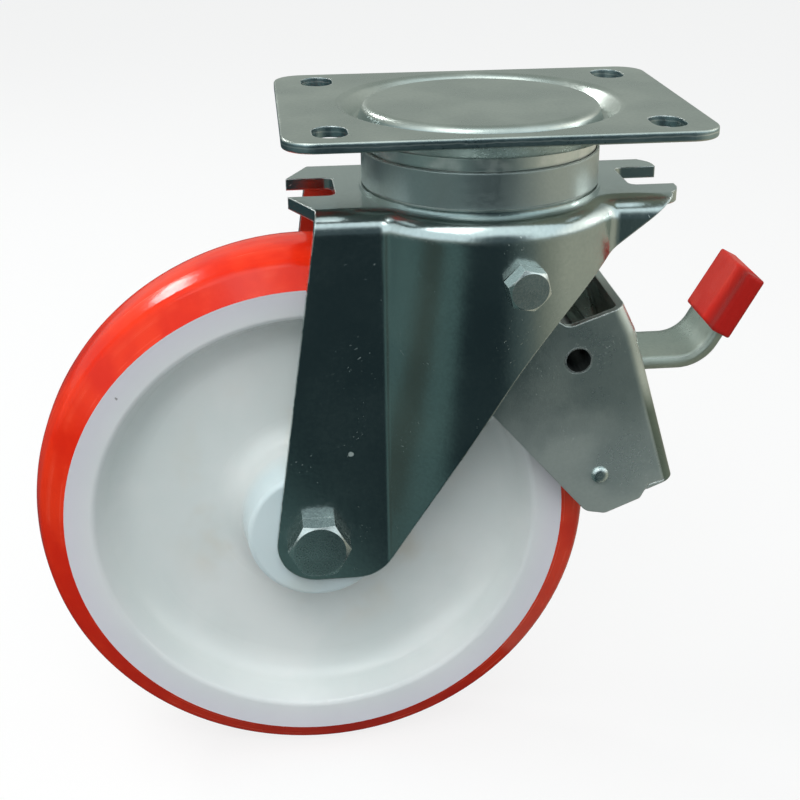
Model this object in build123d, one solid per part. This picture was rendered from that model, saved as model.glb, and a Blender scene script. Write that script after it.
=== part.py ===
"""Swivel castor with a 200 mm wheel, a ball-race swivel head and a pedal brake.

Frame: origin on the swivel axis at the top face of the plate, +Z up, +Y away from the brake bolt side,
+X from the wheel towards the brake pedal. Lengths in millimetres, angles in degrees.
"""

from build123d import *
import os
from math import asin, atan2, cos, degrees, radians, sin, sqrt, tan

os.makedirs("parts", exist_ok=True)

# ---------------------------------------------------------------- fits
running_fit = 0.05  # radial play where one piece turns on another
seat_fit = 0.02  # play drawn between pieces pressed or bolted together
moving_gap = 0.3  # air between faces that pass each other

# ---------------------------------------------------------------- bolts and nuts
hexagon_face_share = 0.95  # flat end face of a hexagon against its width across the flats
hexagon_bevel_angle = 30
thread_end_chamfer = 0.8

# ---------------------------------------------------------------- top plate
plate_length = 135
plate_width = 105
plate_thickness = 3.5
plate_corner_radius = 10
plate_edge_radius = 0.8
slot_spacing_x = 105
slot_spacing_y = 77.5
slot_width = 11
slot_length = 16
groove_beyond_race = 2.7  # middle of the pressed groove, outside the race below it
groove_floor_width = 1.4
groove_depth = 5.5
groove_inner_run = 2.0  # horizontal run of the steep wall on the disc side
groove_outer_run = 4.6
disc_shoulder_radius = 3.0
outer_shoulder_radius = 3.0
groove_floor_radius = 0.6
bulge_inner_step = 2.6  # bulge below, inside the groove's middle radius
bulge_outer_step = 3.6
bulge_inner_radius = 0.8
bulge_outer_radius = 2.8

# ---------------------------------------------------------------- swivel head
upper_ball_diameter = 8
upper_ball_pitch_radius = 33
upper_ball_count = 24
upper_race_wall = 6  # from the balls' middle to each side of the race
upper_race_taper = 0.6
upper_race_spigot_play = 1.2
race_gap = 5  # between the upper race and the race on the crown
upper_race_shoulder_round = 1
upper_race_side_round = 2
upper_race_foot_round = 0.5
lower_ball_diameter = 6.35
lower_ball_pitch_radius = 21
lower_ball_count = 18
lower_race_wall = 5  # from the balls' middle to the outside
lower_race_thickness = 4
lower_race_lip = 1.6
lower_race_lip_height = 2.4
crown_race_thickness = 4
dust_ring_wall = 0.8
dust_ring_lap = 3.25  # how far the dust ring reaches up past the foot of the upper race
dust_ring_floor_gap = 0.5  # air between the dust ring and the land on the crown
king_pin_head_radius = 18
king_pin_head_height = 4
king_pin_radius = 9
king_pin_thread_radius = 7
king_pin_end_length = 1.0  # thread showing below the nut
king_washer_radius = 14
king_washer_thickness = 2.5
king_nut_across_flats = 21
king_nut_height = 7

# ---------------------------------------------------------------- fork
sheet = 4
crown_top = -27.5
crown_land_margin = 0.9  # land showing round the dust ring
crown_land_height = 1.0
crown_hole_radius = 15.5
bend_radius = 7.5
bend_depth = 8  # the legs run straight down this far before the bulge starts to flatten
left_half_width = 34
right_half_width = 28.5
bulge_radius = 49
bulge_foot_x = 2
bulge_foot_half_width = 36
bulge_foot_below_axle = 20
crease_radius = 5
prong_left_reach = 8.1  # how far the prongs stand out past the tops of the legs
prong_right_reach = 3
crown_shoulder_half_width = 28
crown_right_half_width = 23.5
crown_right_corner_radius = 9.5
prong_slot_half_width = 11.3
prong_slot_end = 49.5
prong_slot_corner_radius = 3
leg_left_top_x = -57.3
leg_left_bottom_run = 16.8  # from the axle to the left corner of the foot
leg_right_bottom_run = 21.5
leg_knee_x = 18.6
leg_knee_z = -61.2
leg_right_top_x = 61.6
leg_edge_below_axle = 15.5
leg_left_corner_radius = 14
leg_right_corner_radius = 14
leg_knee_radius = 160
leg_top_corner_radius = 4

# ---------------------------------------------------------------- axle and hub
axle_x = -60
axle_radius = 6
axle_head_across_flats = 19
axle_head_height = 7.5
axle_nut_height = 10
axle_end_length = 3
axle_sleeve_radius = 10
roller_diameter = 4
roller_length = 40
roller_count = 12
roller_cage_length = 50
roller_cage_wall = 1.8

# ---------------------------------------------------------------- wheel
wheel_radius = 100
wheel_gap = 13.5  # between the tread and the crown
tread_crown_half_width = 7
tread_thickness = 11.35
tread_shoulder_drop = 2.8
tread_shoulder_half_width = 16.5
tread_shoulder_round = 5
tread_crown_round = 30
rim_half_width = 22
rim_key_height = 2.8
rim_key_half_width = 12
rim_key_taper = 2
rim_wall = 10.15
dish_lip_half_width = 21
dish_wall_run = 7.5
dish_floor_half_width = 7
dish_fillet = 12
dish_lip_round = 2.5
hub_radius = 24.5
hub_foot_radius = 28
hub_fillet = 10
hub_edge_round = 2

# ---------------------------------------------------------------- brake bolts
brake_bolt_radius = 4
brake_bolt_x = 7.6
brake_bolt_z = -48.8
brake_bolt_across_flats = 13
brake_bolt_head_height = 5.3
brake_bolt_turn = -14
brake_nut_height = 6.5
brake_bolt_end_length = 1.5

# ---------------------------------------------------------------- brake housing
# Places on the brake are measured from the front of the tread, at the height of the axle.
housing_sheet = 2.5
housing_half_width = 34
housing_bend_radius = 4.5
housing_top_x = 4.5
housing_top_z = 82.5
housing_knee_x = 9.1
housing_knee_z = 73.1
housing_knee_radius = 12
web_tilt_limit = 26  # faces that lean back less than this belong to the web
housing_foot_x = 25.7
housing_foot_z = 17.2
housing_step_x = 15.5
housing_step_z = 12.9
housing_heel_x = 13.9
housing_heel_z = 9.8
housing_heel_radius = 1.5
housing_fold_x = 16.8  # corner of the crease where the foot of the web folds in
housing_fold_z = 15.2
housing_fold_end_x = 22.3
housing_fold_end_z = 16.8
housing_fold_crease = 0.4  # width and depth of that crease
housing_bottom_x = 1.6
housing_bottom_z = 4.6
housing_bottom_radius = 3
housing_toe_x = -5.5
housing_toe_z = 5.9
housing_toe_radius = 5
housing_notch_x = -14.5
housing_notch_z = 75.7
housing_notch_radius = 4
ear_bend_top_x = -18
ear_bend_top_z = 78
ear_bend_length = 38
ear_bend_angle = 45
ear_radius = 9
window_side_play = 2  # round the pedal, which swings in the window
window_play_above = 2.7
window_play_below = 13.3

# ---------------------------------------------------------------- pedal
pivot_x = -10.7
pivot_z = 63.9
sleeve_radius = 4.7
sleeve_wall = 0.5
sleeve_overhang = 0.2  # how far the sleeve stands out of the housing at each end
pedal_sheet = 4
pedal_half_width = 13
pedal_top = 54.3
pedal_nose_x = -5.1
pedal_side_play = 3.5  # between the pedal's ears and the housing
pedal_wide_end_x = 6
pedal_eye_wall = 2.5
pedal_bend_x = 30.5
pedal_bend_radius = 14
pedal_angle = 60.9
pedal_end_length = 23.9
cap_side_wall = 2.2
cap_length = 23.4
cap_mouth_wall = 1.7
cap_end_wall = 1.4
cap_wall = 1.5
cap_round = 0.8

# ---------------------------------------------------------------- brake shoe
stub_x = -1.1
stub_z = 20.1
stub_radius = 2.5
stub_head_radius = 3.1
stub_head_height = 1.2
stub_head_round = 1.1
shoe_sheet = 2.5
shoe_flange_sheet = 2
shoe_flange_gap = 0.3
shoe_face_gap = 0.5  # air between the shoe and the tread with the brake on
shoe_foot_above_stub = 5.9
shoe_below_pedal = 2.35  # from the top of the shoe's face to the pedal, with the brake on
shoe_flange_height = 6.5
shoe_eye_radius = 6
shoe_release_angle = 8

# ---------------------------------------------------------------- worked out from the sizes above
crown_bottom = crown_top - sheet
crown_land_top = crown_top + crown_land_height
crown_left_tip = leg_left_top_x - prong_left_reach
crown_right_tip = leg_right_top_x + prong_right_reach
upper_race_inner_radius = upper_ball_pitch_radius - upper_race_wall
upper_race_outer_radius = upper_ball_pitch_radius + upper_race_wall
groove_radius = upper_race_outer_radius + groove_beyond_race
groove_inner_radius = groove_radius - groove_floor_width / 2
groove_outer_radius = groove_radius + groove_floor_width / 2
groove_inner_lip = groove_inner_radius - groove_inner_run
groove_outer_lip = groove_outer_radius + groove_outer_run
bulge_bottom = -groove_depth - plate_thickness
upper_race_spigot_radius = groove_inner_lip - bulge_inner_step - upper_race_spigot_play
crown_race_top = crown_land_top + crown_race_thickness
upper_race_bottom = crown_race_top + race_gap
upper_ball_z = (upper_race_bottom + crown_race_top) / 2
dust_ring_inner_radius = upper_race_outer_radius + moving_gap
dust_ring_radius = dust_ring_inner_radius + dust_ring_wall
dust_ring_bottom = crown_land_top + dust_ring_floor_gap
dust_ring_top = upper_race_bottom + dust_ring_lap
crown_land_radius = dust_ring_radius + crown_land_margin
lower_race_radius = lower_ball_pitch_radius + lower_race_wall
lower_ball_z = crown_bottom - lower_ball_diameter / 2 - seat_fit
lower_race_top = lower_ball_z - lower_ball_diameter / 4
lower_race_bottom = lower_race_top - lower_race_thickness
king_washer_bottom = lower_race_bottom - king_washer_thickness
king_nut_bottom = king_washer_bottom - king_nut_height
king_pin_bottom = king_nut_bottom - king_pin_end_length
axle_z = crown_bottom - wheel_gap - wheel_radius
leg_left_bottom_x = axle_x - leg_left_bottom_run
leg_right_bottom_x = axle_x + leg_right_bottom_run
leg_bottom = axle_z - leg_edge_below_axle
leg_inner_face = left_half_width - sheet
bulge_foot_z = axle_z - bulge_foot_below_axle
hub_half_width = leg_inner_face - moving_gap
roller_pitch_radius = axle_sleeve_radius + running_fit + roller_diameter / 2
hub_bore_radius = roller_pitch_radius + roller_diameter / 2 + running_fit
rim_radius = wheel_radius - tread_thickness
tread_shoulder_radius = wheel_radius - tread_shoulder_drop
dish_lip_radius = rim_radius - rim_wall
dish_floor_radius = dish_lip_radius - dish_wall_run
brake_x = axle_x + wheel_radius
housing_inner_face = housing_half_width - housing_sheet
shoe_half_width = housing_inner_face - shoe_flange_gap
pedal_middle = pedal_top - pedal_sheet / 2
pedal_wide_half_width = housing_inner_face - pedal_side_play
window_half_width = pedal_half_width + window_side_play
window_top = pedal_top + window_play_above
window_bottom = pedal_top - pedal_sheet - window_play_below
REACH = 200  # longer than the castor: cuts that run right through


# ---------------------------------------------------------------- helpers
def turned(points, radii):
    """Solid of revolution about Z from a closed outline of (radius, height) points."""
    outline = FilletPolyline(*points, radius=radii, close=True)
    return revolve(Plane.XZ * make_face(outline), Axis.Z)


def ring(inner_radius, outer_radius, bottom, top):
    """Plain ring about Z between two heights."""
    washer = Circle(outer_radius) - Circle(inner_radius)
    return Pos(0, 0, bottom) * extrude(washer, top - bottom)


def bar(radius, bottom, top):
    """Round bar about Z between two heights."""
    return Pos(0, 0, bottom) * extrude(Circle(radius), top - bottom)


def side_plate(sketch, y_from, y_to):
    """Extrude a sketch drawn in (x, z) between two values of y."""
    return Pos(0, y_to, 0) * extrude(Plane.XZ * sketch, y_to - y_from)


def at_axle(part):
    """Put a part modelled about Z on the wheel axis, its +Z towards -Y."""
    return Pos(axle_x, 0, axle_z) * Rot(90, 0, 0) * part


def turned_about(part, x, z, angle):
    """Turn a part about the line along Y through (x, z)."""
    return Pos(x, 0, z) * Rot(0, angle, 0) * Pos(-x, 0, -z) * part


def hexagon(across_flats, height):
    """Hexagon bar with its outer end chamfered, standing on Z = 0."""
    flat = across_flats / 2
    corner = flat / cos(radians(30))
    face_radius = flat * hexagon_face_share
    bevel = (corner - face_radius) * tan(radians(hexagon_bevel_angle))
    prism = extrude(RegularPolygon(flat, 6, major_radius=False), height)
    cone = turned([(0, 0), (corner, 0), (corner, height - bevel), (face_radius, height), (0, height)], 0)
    return prism & cone


def hex_bolt(radius, length, across_flats, head_height):
    """Bolt with its seat at Z = 0, head above and shank below."""
    shank = chamfer(bar(radius, -length, 0).edges().group_by(Axis.Z)[0], thread_end_chamfer)
    return hexagon(across_flats, head_height) + shank


def hex_nut(radius, across_flats, height):
    """Nut lying below Z = 0, its chamfered face down."""
    body = Rot(180, 0, 0) * hexagon(across_flats, height)
    return body - bar(radius + seat_fit, -height, 0)


# ---------------------------------------------------------------- top plate and swivel head
def make_top_plate():
    slab = Pos(0, 0, -plate_thickness) * extrude(
        RectangleRounded(plate_length, plate_width, plate_corner_radius), plate_thickness
    )
    slab = fillet(slab.edges().group_by(Axis.Z)[-1], plate_edge_radius)
    slab = fillet(slab.edges().group_by(Axis.Z)[0], plate_edge_radius)
    bulge = turned(
        [
            (groove_inner_lip - bulge_inner_step, -plate_thickness / 2),
            (groove_inner_lip - bulge_inner_step, -plate_thickness),
            (groove_inner_radius - bulge_inner_step, bulge_bottom),
            (groove_outer_radius + bulge_outer_step / 2, bulge_bottom),
            (groove_outer_lip + bulge_outer_step / 2, -plate_thickness),
            (groove_outer_lip + bulge_outer_step, -plate_thickness / 2),
        ],
        [0, 0, bulge_inner_radius, bulge_outer_radius, 0, 0],
    )
    groove = turned(
        [
            (groove_inner_lip - disc_shoulder_radius, plate_thickness),
            (groove_inner_lip - disc_shoulder_radius, 0),
            (groove_inner_lip, 0),
            (groove_inner_radius, -groove_depth),
            (groove_outer_radius, -groove_depth),
            (groove_outer_lip, 0),
            (groove_outer_lip + outer_shoulder_radius, 0),
            (groove_outer_lip + outer_shoulder_radius, plate_thickness),
        ],
        [0, 0, disc_shoulder_radius, groove_floor_radius, groove_floor_radius, outer_shoulder_radius, 0, 0],
    )
    plate = slab + bulge - groove
    slot = extrude(SlotOverall(slot_length, slot_width, 90), plate_thickness, both=True)
    for place in GridLocations(slot_spacing_x, slot_spacing_y, 2, 2):
        plate -= place * slot
    return plate


def make_upper_race():
    shoulder = bulge_bottom - seat_fit
    body = turned(
        [
            (upper_race_inner_radius, -plate_thickness),
            (upper_race_spigot_radius, -plate_thickness),
            (upper_race_spigot_radius, shoulder),
            (upper_race_outer_radius, shoulder),
            (upper_race_outer_radius, dust_ring_top + upper_race_taper),
            (upper_race_outer_radius - upper_race_taper, upper_race_bottom),
            (upper_race_inner_radius, upper_race_bottom),
        ],
        [0, 0, 0, upper_race_shoulder_round, upper_race_side_round, upper_race_foot_round, 0],
    )
    return body - ball_track(upper_ball_pitch_radius, upper_ball_z, upper_ball_diameter / 2 + running_fit)


def ball_track(pitch_radius, height, radius):
    return Pos(0, 0, height) * Torus(pitch_radius, radius)


def ball_ring(pitch_radius, height, diameter, count):
    """Separate balls, evenly spaced round the swivel axis."""
    return [loc * Sphere(diameter / 2) for loc in Pos(0, 0, height) * PolarLocations(pitch_radius, count)]


def make_crown_race():
    body = ring(upper_race_inner_radius, dust_ring_inner_radius - seat_fit, crown_land_top, crown_race_top)
    return body - ball_track(upper_ball_pitch_radius, upper_ball_z, upper_ball_diameter / 2 + seat_fit)


def make_dust_ring():
    body = ring(dust_ring_inner_radius, dust_ring_radius, dust_ring_bottom, dust_ring_top)
    return fillet(body.edges().group_by(Axis.Z)[-1].sort_by(SortBy.RADIUS)[-1], dust_ring_wall / 2)


def make_lower_race():
    lip_top = lower_race_top + lower_race_lip_height
    body = turned(
        [
            (king_pin_thread_radius + seat_fit, lower_race_bottom),
            (lower_race_radius - lower_race_lip_height, lower_race_bottom),
            (lower_race_radius, lower_race_top),
            (lower_race_radius, lip_top),
            (lower_race_radius - lower_race_lip, lip_top),
            (lower_race_radius - lower_race_lip, lower_race_top),
            (king_pin_thread_radius + seat_fit, lower_race_top),
        ],
        0,
    )
    return body - ball_track(lower_ball_pitch_radius, lower_ball_z, lower_ball_diameter / 2 + running_fit)


def make_king_pin():
    return turned(
        [
            (0, -plate_thickness),
            (king_pin_head_radius, -plate_thickness),
            (king_pin_head_radius, -plate_thickness - king_pin_head_height),
            (king_pin_radius, -plate_thickness - king_pin_head_height),
            (king_pin_radius, lower_race_top),
            (king_pin_thread_radius, lower_race_top),
            (king_pin_thread_radius, king_pin_bottom + king_pin_end_length),
            (king_pin_thread_radius - king_pin_end_length, king_pin_bottom),
            (0, king_pin_bottom),
        ],
        0,
    )


# ---------------------------------------------------------------- fork
def plan_outline(inset, flat_foot):
    """Plan of the legs: flat panels joined by a round bulge, the same on both sides.

    inset moves every face inwards; flat_foot draws the shallow bulge at the foot of the legs.
    """
    radius = bulge_radius - inset
    left_y = left_half_width - inset
    right_y = right_half_width - inset
    left_x = -sqrt(radius**2 - left_y**2)
    right_x = sqrt(radius**2 - right_y**2)
    crest = (bulge_foot_x, bulge_foot_half_width - inset) if flat_foot else (0, radius)
    outline = (
        Line((-REACH, left_y), (left_x, left_y))
        + ThreePointArc((left_x, left_y), crest, (right_x, right_y))
        + Line((right_x, right_y), (REACH, right_y))
        + Line((REACH, right_y), (REACH, -right_y))
        + Line((REACH, -right_y), (right_x, -right_y))
        + ThreePointArc((right_x, -right_y), (crest[0], -crest[1]), (left_x, -left_y))
        + Line((left_x, -left_y), (-REACH, -left_y))
        + Line((-REACH, -left_y), (-REACH, left_y))
    )
    plan = make_face(outline)
    creases = [corner for corner in plan.vertices() if abs(corner.X) < REACH / 2]
    return fillet(creases, crease_radius + inset)


def leg_block(inset):
    """Solid bounded by the leg walls, moved inwards by inset."""
    top = crown_top - inset
    bend_end = crown_top - bend_depth
    straight = Pos(0, 0, bend_end) * extrude(plan_outline(inset, False), top - bend_end)
    foot = Pos(0, 0, bulge_foot_z) * plan_outline(inset, True)
    head = Pos(0, 0, bend_end) * plan_outline(inset, False)
    flattening = loft([foot, head], ruled=True)
    block = straight + flattening
    rim = block.edges().group_by(Axis.Z)[-1].filter_by(Axis.Y, reverse=True)
    return fillet(rim, bend_radius - inset)


def side_silhouette():
    """Side view of the crown and legs, drawn in (x, z)."""
    outline = FilletPolyline(
        (leg_left_top_x, crown_top + sheet),
        (leg_left_top_x, crown_top),
        (leg_left_bottom_x, leg_bottom),
        (leg_right_bottom_x, leg_bottom),
        (leg_knee_x, leg_knee_z),
        (leg_right_top_x, crown_top),
        (leg_right_top_x, crown_top + sheet),
        radius=[
            0,
            0,
            leg_left_corner_radius,
            leg_right_corner_radius,
            leg_knee_radius,
            leg_top_corner_radius,
            0,
        ],
        close=True,
    )
    return make_face(outline)


def crown_outline():
    """Plan view of the crown with its prongs."""
    outline = FilletPolyline(
        (crown_left_tip, -prong_slot_half_width),
        (leg_left_top_x, -crown_shoulder_half_width),
        (leg_right_top_x - bend_radius, -crown_right_half_width),
        (crown_right_tip, -crown_right_half_width),
        (crown_right_tip, crown_right_half_width),
        (leg_right_top_x - bend_radius, crown_right_half_width),
        (leg_left_top_x, crown_shoulder_half_width),
        (crown_left_tip, prong_slot_half_width),
        radius=[0, 0, 0, crown_right_corner_radius, crown_right_corner_radius, 0, 0, 0],
        close=True,
    )
    return make_face(outline)


def prong_slot(side):
    """Open slot in the crown, on the side of the given sign of X."""
    length = REACH - prong_slot_end
    slot = RectangleRounded(length, 2 * prong_slot_half_width, prong_slot_corner_radius)
    return Pos(side * (prong_slot_end + length / 2), 0, crown_top) * extrude(slot, 2 * sheet, both=True)


def bolt_seat(legs):
    """Plane on the outer wall of the near leg where its brake bolt sits, Z outwards, X level."""
    line = Axis((brake_bolt_x, -REACH, brake_bolt_z), (0, 1, 0))
    point, normal = legs.find_intersection_points(line)[0]
    return Plane(origin=point, x_dir=Vector(0, 0, 1).cross(normal), z_dir=normal)


def brake_bolt_hole(seat):
    """Cut for the brake bolt through the leg and the ear behind it."""
    return seat.location * bar(brake_bolt_radius + seat_fit, -2 * (sheet + housing_sheet), sheet)


def both_sides(part):
    """A piece of the near side (-Y) and its mirror image on the far side."""
    return [part, mirror(part, about=Plane.XZ)]


def make_fork(legs, seat):
    shell = legs - leg_block(sheet)
    silhouette = side_plate(side_silhouette(), -bulge_radius, bulge_radius)
    crown = Pos(0, 0, crown_bottom) * extrude(crown_outline(), sheet)
    fork = shell & (silhouette + crown)
    fork += ring(crown_hole_radius, crown_land_radius, crown_top - sheet / 2, crown_land_top)
    fork -= bar(crown_hole_radius, crown_bottom - sheet, crown_land_top + sheet)
    fork -= prong_slot(-1) + prong_slot(1)
    fork -= at_axle(bar(axle_radius + seat_fit, -bulge_radius, bulge_radius))
    for hole in both_sides(brake_bolt_hole(seat)):
        fork -= hole
    return fork


# ---------------------------------------------------------------- axle and hub
def make_axle_bolt():
    length = 2 * left_half_width + axle_nut_height + axle_end_length
    bolt = hex_bolt(axle_radius, length, axle_head_across_flats, axle_head_height)
    return at_axle(Pos(0, 0, left_half_width) * bolt)


def make_axle_nut():
    nut = hex_nut(axle_radius, axle_head_across_flats, axle_nut_height)
    return at_axle(Pos(0, 0, -left_half_width) * nut)


def make_axle_sleeve():
    return at_axle(ring(axle_radius + seat_fit, axle_sleeve_radius, -leg_inner_face, leg_inner_face))


def make_roller_cage():
    inner = roller_pitch_radius - roller_cage_wall / 2
    outer = roller_pitch_radius + roller_cage_wall / 2
    cage = ring(inner, outer, -roller_cage_length / 2, roller_cage_length / 2)
    window = Box(2 * roller_diameter, roller_diameter + 2 * moving_gap, roller_length + 2 * moving_gap)
    for place in PolarLocations(roller_pitch_radius, roller_count):
        cage -= place * window
    return at_axle(cage)


def make_rollers():
    roller = bar(roller_diameter / 2, -roller_length / 2, roller_length / 2)
    return [at_axle(place * roller) for place in PolarLocations(roller_pitch_radius, roller_count)]


# ---------------------------------------------------------------- wheel
def both_halves(half):
    """Close a half section (radius, height) with its mirror image below."""
    return half + [(radius, -height) for radius, height in reversed(half)]


def rim_key_section():
    """The rib that locks the tread to the rim, from its outer corner to its root."""
    corner = (rim_radius + rim_key_height, rim_key_half_width)
    root = (rim_radius, rim_key_half_width + rim_key_taper)
    return [corner, root]


def make_wheel_centre():
    half = [
        (hub_bore_radius, hub_half_width),
        (hub_radius, hub_half_width),
        (hub_foot_radius, dish_floor_half_width),
        (dish_floor_radius, dish_floor_half_width),
        (dish_lip_radius, dish_lip_half_width),
        (rim_radius, rim_half_width),
    ] + rim_key_section()[::-1]
    radii = [0, hub_edge_round, hub_fillet, dish_fillet, dish_lip_round, 0, 0, 0]
    return at_axle(turned(both_halves(half), radii + radii[::-1]))


def make_tread():
    half = rim_key_section() + [
        (rim_radius, rim_half_width),
        (tread_shoulder_radius, tread_shoulder_half_width),
        (wheel_radius, tread_crown_half_width),
    ]
    radii = [0, 0, 0, tread_shoulder_round, tread_crown_round]
    return at_axle(turned(both_halves(half), radii + radii[::-1]))


# ---------------------------------------------------------------- brake housing
def on_brake(part):
    """Put a part modelled from the front of the tread where the brake is."""
    return Pos(brake_x, 0, axle_z) * part


def on_housing(part, x, z, side):
    """Put a part modelled about Z on a side plate of the housing, its +Z outwards."""
    return Pos(x, side * housing_half_width, z) * Rot(-90 * side, 0, 0) * part


def through_both_sides(radius, x, z):
    """Round bar along Y through the whole housing."""
    return side_plate(Pos(x, z) * Circle(radius), -2 * housing_half_width, 2 * housing_half_width)


def web_bends(block, half_width):
    """Edges where the front web of a block turns into its side plates."""
    fronts = [face for face in block.faces() if face.normal_at().X > cos(radians(web_tilt_limit))]
    edges = [edge for face in fronts for edge in face.edges()]
    return [edge for edge in edges if abs(abs(edge.center().Y) - half_width) < seat_fit]


def web_space(offset_in):
    """All that lies behind the web of the housing, moved in by the given distance."""
    knee = Vector(housing_knee_x, housing_knee_z)
    top = knee + (Vector(housing_top_x, housing_top_z) - knee).normalized() * REACH
    foot = knee + (Vector(housing_foot_x, housing_foot_z) - knee).normalized() * REACH
    corners = [top, knee, foot, Vector(-REACH, foot.Y), Vector(-REACH, top.Y)]
    outline = FilletPolyline(*corners, radius=[0, housing_knee_radius, 0, 0, 0], close=True)
    return offset(make_face(outline), -offset_in)


def ear_plane(seat):
    """Inner face of the near ear: Z outwards through the brake bolt, X along the bends of the ear."""
    origin = seat.origin - seat.z_dir * (sheet + seat_fit + housing_sheet)
    along = Vector(cos(radians(ear_bend_angle)), 0, sin(radians(ear_bend_angle)))
    return Plane(origin=origin, x_dir=along - seat.z_dir * along.dot(seat.z_dir), z_dir=seat.z_dir)


def ear_bend_end():
    """Lower end of the bend where the ear leaves the side plate, in (x, z)."""
    run = Vector(ear_bend_length, 0).rotate(Axis.Z, ear_bend_angle)
    return Vector(ear_bend_top_x, ear_bend_top_z) - run


def make_ear(seat):
    """Pad against the leg round the brake bolt, joined to the side plate by a sloping web."""
    plane = ear_plane(seat)
    root = Pos(0, -ear_radius) * Rectangle(2 * ear_radius, 2 * seat_fit)
    outline = make_hull(ShapeList([Circle(ear_radius).edge(), *root.edges()]))
    pad = plane.location * extrude(outline, housing_sheet)
    pad_foot = plane.from_local_coords(Vector(0, -ear_radius))
    pad_root = Plane(origin=pad_foot, x_dir=plane.x_dir, z_dir=plane.y_dir)
    middle = (Vector(ear_bend_top_x, ear_bend_top_z) + ear_bend_end()) / 2
    along = Vector(cos(radians(ear_bend_angle)), 0, sin(radians(ear_bend_angle)))
    bend_middle = (brake_x + middle.X, -housing_inner_face, axle_z + middle.Y)
    bend = Plane(origin=bend_middle, x_dir=along, z_dir=along.cross(Vector(0, 1, 0)))
    pad_end = pad_root.location * Pos(0, -housing_sheet / 2) * Rectangle(2 * ear_radius, housing_sheet)
    plate_end = bend.location * Pos(0, -housing_sheet / 2) * Rectangle(ear_bend_length, housing_sheet)
    return pad + loft([pad_end, plate_end], ruled=True)


def housing_side():
    """Side view of the housing up to the bends of its ears."""
    end = ear_bend_end()
    outline = FilletPolyline(
        (end.X, end.Y),
        (housing_toe_x, housing_toe_z),
        (housing_bottom_x, housing_bottom_z),
        (housing_heel_x, housing_heel_z),
        (housing_step_x, housing_step_z),
        (housing_foot_x, housing_foot_z),
        (housing_knee_x, housing_knee_z),
        (housing_top_x, housing_top_z),
        (housing_notch_x, housing_notch_z),
        (ear_bend_top_x, ear_bend_top_z),
        radius=[
            0,
            housing_toe_radius,
            housing_bottom_radius,
            housing_heel_radius,
            0,
            0,
            housing_knee_radius,
            0,
            housing_notch_radius,
            0,
        ],
        close=True,
    )
    return make_face(outline)


def fold_crease():
    """Crease on both side plates, round the end of the web's folded foot."""
    corner = (housing_fold_x, housing_fold_z)
    rise = Line((housing_step_x + housing_fold_crease, housing_step_z), corner)
    run = Line(corner, (housing_fold_end_x, housing_fold_end_z))
    groove = make_face(Wire([rise.edge(), run.edge()]).offset_2d(housing_fold_crease / 2))
    near = side_plate(groove, -2 * housing_half_width, -housing_half_width + housing_fold_crease)
    return both_sides(near)


def make_housing(seat):
    block = side_plate(housing_side(), -housing_half_width, housing_half_width)
    block = fillet(web_bends(block, housing_half_width), housing_bend_radius)
    inside = side_plate(web_space(housing_sheet), -housing_inner_face, housing_inner_face)
    inside = fillet(web_bends(inside, housing_inner_face), housing_bend_radius - housing_sheet)
    housing = on_brake(block - inside)
    ear = (make_ear(seat) & leg_block(sheet + running_fit)) - brake_bolt_hole(seat)
    for half in both_sides(ear):
        housing += half
    window = Rectangle(2 * pedal_sheet + 2 * housing_sheet, window_top - window_bottom)
    middle = (window_top + window_bottom) / 2
    cuts = side_plate(Pos(housing_step_x, middle) * window, -window_half_width, window_half_width)
    cuts += through_both_sides(sleeve_radius + seat_fit, pivot_x, pivot_z)
    cuts += through_both_sides(stub_radius + seat_fit, stub_x, stub_z)
    for crease in fold_crease():
        cuts += crease
    return housing - on_brake(cuts)


def make_brake_bolts(seat):
    length = sheet + housing_sheet + brake_nut_height + brake_bolt_end_length
    bolt = hex_bolt(brake_bolt_radius, length, brake_bolt_across_flats, brake_bolt_head_height)
    return both_sides(seat.location * Rot(0, 0, brake_bolt_turn) * bolt)


def make_brake_nuts(seat):
    nut = hex_nut(brake_bolt_radius, brake_bolt_across_flats, brake_nut_height)
    return both_sides(ear_plane(seat).location * nut)


# ---------------------------------------------------------------- pedal
def make_pedal_sleeve():
    half = housing_half_width + sleeve_overhang
    wall = Circle(sleeve_radius) - Circle(sleeve_radius - sleeve_wall)
    return on_brake(Pos(pivot_x, 0, pivot_z) * side_plate(wall, -half, half))


def pedal_path():
    """Middle line of the pedal strap in (x, z): flat from the nose, then bent up to the cap."""
    flat = Line((pedal_nose_x + pedal_sheet / 2, pedal_middle), (pedal_bend_x, pedal_middle))
    bend = JernArc((pedal_bend_x, pedal_middle), (1, 0), pedal_bend_radius, pedal_angle)
    end = PolarLine(bend @ 1, pedal_end_length, pedal_angle)
    return Wire([flat.edge(), bend.edge(), end.edge()])


def strap_outline(play):
    """The strap seen from the side, with rounded ends, grown by some play."""
    return make_face(pedal_path().offset_2d(pedal_sheet / 2 + play))


def make_pedal():
    strap = side_plate(strap_outline(0), -pedal_half_width, pedal_half_width)
    nose = Line((pedal_nose_x + pedal_sheet / 2, pedal_middle), (pedal_wide_end_x, pedal_middle))
    wide = make_face(Wire([nose.edge()]).offset_2d(pedal_sheet / 2))
    eye = Pos(pivot_x, pivot_z) * Circle(sleeve_radius + pedal_eye_wall)
    ear = make_hull(ShapeList([eye.edge(), *wide.edges()]))
    pedal = strap + side_plate(wide, -pedal_wide_half_width, pedal_wide_half_width)
    for side in (-1, 1):
        middle = side * (pedal_wide_half_width - pedal_sheet / 2)
        pedal += side_plate(ear, middle - pedal_sheet / 2, middle + pedal_sheet / 2)
    return on_brake(pedal - through_both_sides(sleeve_radius + running_fit, pivot_x, pivot_z))


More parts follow.
